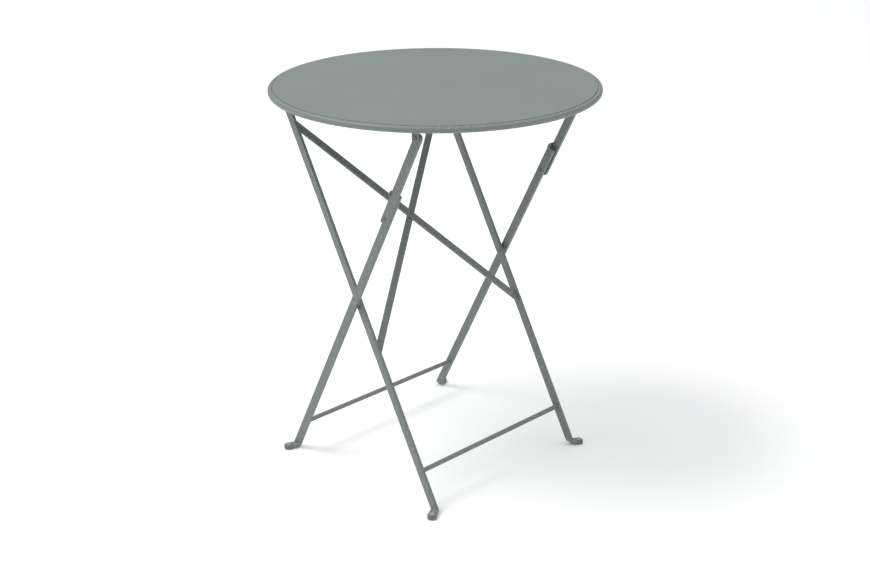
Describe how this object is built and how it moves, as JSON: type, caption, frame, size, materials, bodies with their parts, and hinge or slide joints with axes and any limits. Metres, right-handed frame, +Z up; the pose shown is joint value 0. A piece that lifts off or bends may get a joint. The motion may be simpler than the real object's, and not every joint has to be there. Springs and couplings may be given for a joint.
{
  "type": "bistro table",
  "caption": "Folding bistro table with a round rolled-edge sheet-metal top on crossed flat-bar legs with cross rods and diagonal braces.",
  "frame": {"origin": "on the floor, under the centre of the round top, at the middle of the table's bounding box", "axes": "+Z up; Y along the cross rods and the pivots; X along the spread of the crossed legs, +X towards the feet of the inner frame"},
  "size_m": [0.5999, 0.6, 0.7292],
  "materials": {
    "top_coat": "satin grey powder coat",
    "frame_coat": "satin grey powder coat",
    "rivet_metal": "satin grey powder coat over steel rivets",
    "stud_metal": "satin grey, the heads a shade lighter than the glides",
    "glide_plastic": "matte grey moulded plastic, close to the frame colour"
  },
  "bodies": {
    "inner_frame": {"front_brace": "frame_coat", "inner_cross_rod": "frame_coat", "inner_foot_glide_left": "glide_plastic", "inner_foot_glide_right": "glide_plastic", "inner_glide_stud_left": "stud_metal", "inner_glide_stud_right": "stud_metal", "inner_leg_left": "frame_coat", "inner_leg_right": "frame_coat", "leg_hinge_rivet_left": "rivet_metal", "leg_hinge_rivet_right": "rivet_metal", "pivot_rivet_left": "rivet_metal", "pivot_rivet_right": "rivet_metal", "pivot_washer_left": "rivet_metal", "pivot_washer_right": "rivet_metal", "rear_brace": "frame_coat"},
    "outer_frame": {"knuckle_rivet_left": "rivet_metal", "knuckle_rivet_right": "rivet_metal", "knuckle_washer_left": "rivet_metal", "knuckle_washer_right": "rivet_metal", "outer_cross_rod": "frame_coat", "outer_foot_glide_left": "glide_plastic", "outer_foot_glide_right": "glide_plastic", "outer_glide_stud_left": "stud_metal", "outer_glide_stud_right": "stud_metal", "outer_leg_left": "frame_coat", "outer_leg_right": "frame_coat"},
    "upper_arms": {"upper_arm_left": "frame_coat", "upper_arm_right": "frame_coat"},
    "tabletop": {"arm_hinge_lug_left": "frame_coat", "arm_hinge_lug_right": "frame_coat", "arm_hinge_rivet_left": "rivet_metal", "arm_hinge_rivet_right": "rivet_metal", "leg_hinge_lug_left": "frame_coat", "leg_hinge_lug_right": "frame_coat", "lug_hinge_rivet_left": "rivet_metal", "lug_hinge_rivet_right": "rivet_metal", "table_top": "top_coat"}
  },
  "joints": [
    {"name": "scissor_fold", "type": "hinge", "parent": "inner_frame", "child": "outer_frame", "pos_m": [-0.0085, 0, 0.3575], "axis": [0, -1, 0], "range_deg": [0, 53.1]},
    {"name": "knuckle_fold", "type": "hinge", "parent": "outer_frame", "child": "upper_arms", "pos_m": [0.08556, 0, 0.54135], "axis": [0, 1, 0], "range_deg": [0, 180.01]},
    {"name": "top_tilt", "type": "hinge", "parent": "upper_arms", "child": "tabletop", "pos_m": [0.1675, 0, 0.7015], "axis": [0, -1, 0], "range_deg": [0, 66.13]}
  ],
  "couplings": [
    {"joint": "knuckle_fold", "follows": "scissor_fold", "ratio": 3.39},
    {"joint": "top_tilt", "follows": "scissor_fold", "ratio": 1.2453}
  ]
}
